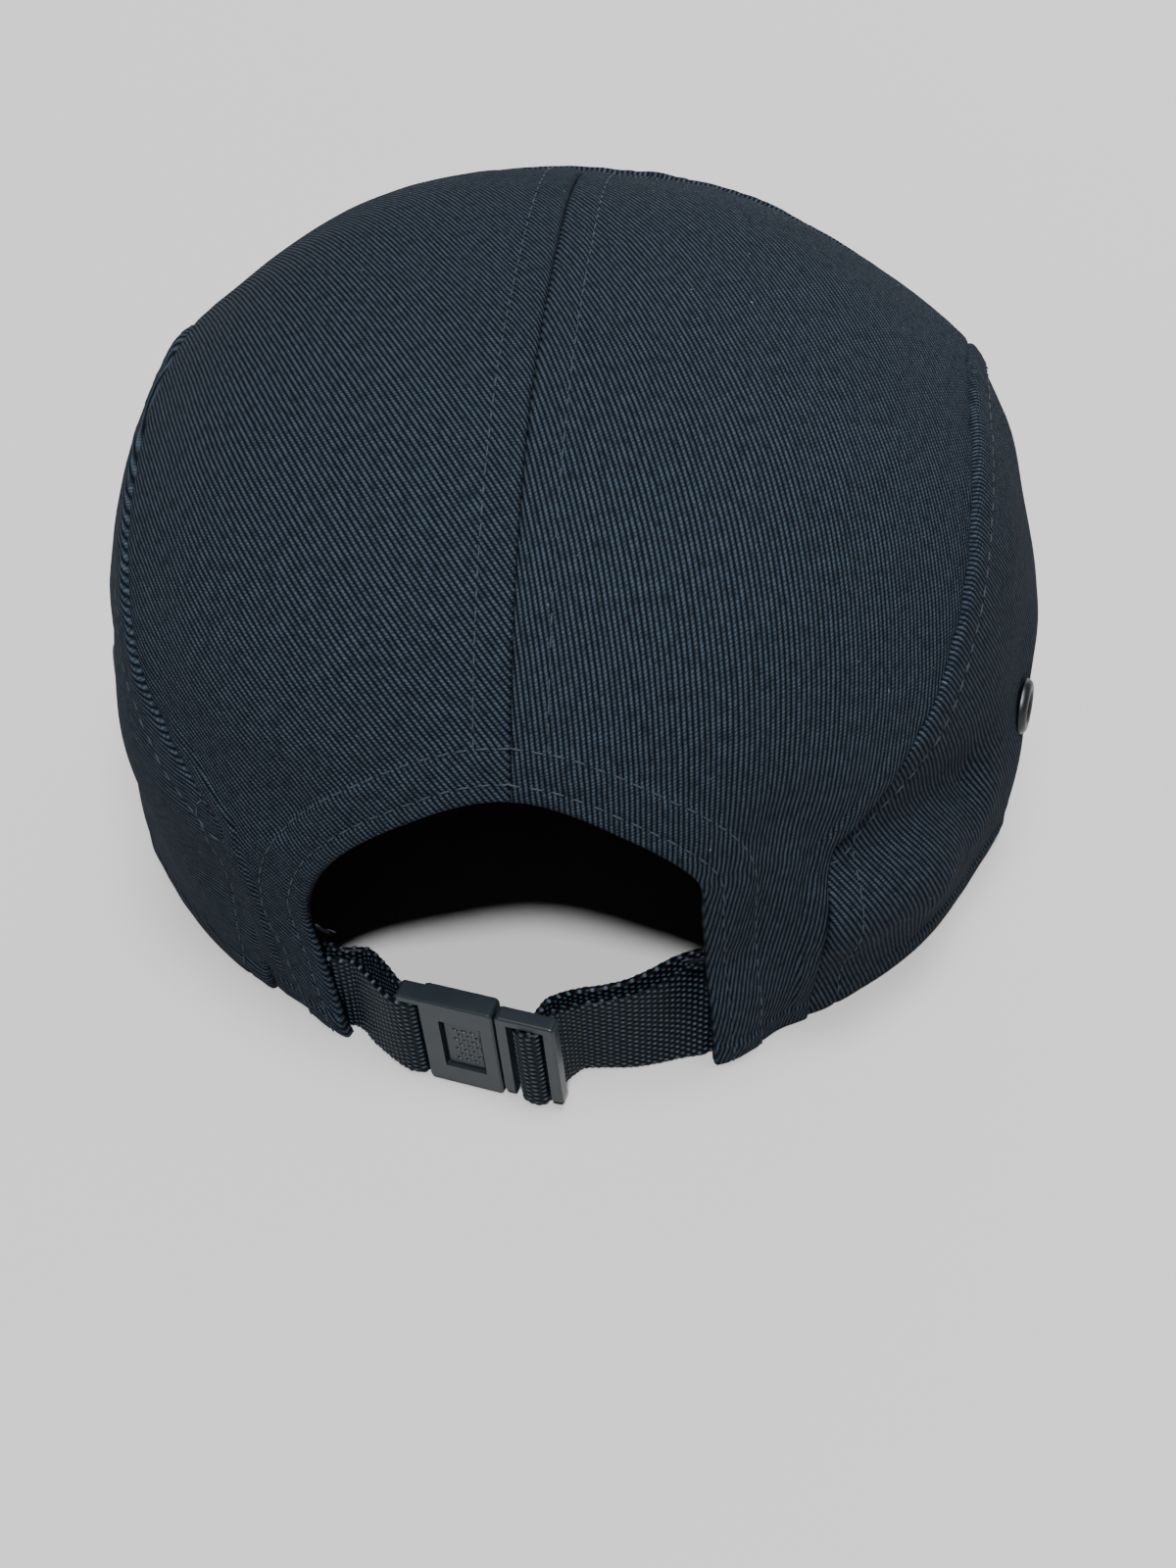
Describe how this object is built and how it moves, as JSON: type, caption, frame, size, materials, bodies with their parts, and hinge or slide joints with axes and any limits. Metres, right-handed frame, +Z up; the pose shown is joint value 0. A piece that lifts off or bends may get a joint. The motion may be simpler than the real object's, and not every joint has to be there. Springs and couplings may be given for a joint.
{
  "type": "five panel cap",
  "caption": "Soft black twill cap with a short stiff brim, a rounded crown and an arched back opening, closed by a webbing strap with a plastic clip buckle.",
  "frame": {"origin": "centre of the bounding box, on the surface that the cap rests on", "axes": "+Z up, the brim points to -Y, the back opening and its strap to +Y, the wearer's left is +X"},
  "size_m": [0.1802, 0.2706, 0.1188],
  "materials": {
    "twill": "black cotton twill, matt, with a fine diagonal weave",
    "band_cloth": "black plain cotton",
    "webbing": "coarse black woven webbing",
    "buckle_plastic": "satin dark grey moulded plastic",
    "eyelet_metal": "dark painted metal, half gloss"
  },
  "bodies": {
    "root": {"front_panel": "twill", "side_panel_left": "twill", "side_panel_right": "twill", "back_panel_left": "twill", "back_panel_right": "twill", "brim": "twill", "sweatband": "band_cloth", "strap_left": "webbing", "strap_right": "webbing", "buckle_body": "buckle_plastic", "buckle_clip": "buckle_plastic", "eyelet_left": "eyelet_metal", "eyelet_right": "eyelet_metal"}
  },
  "joints": []
}
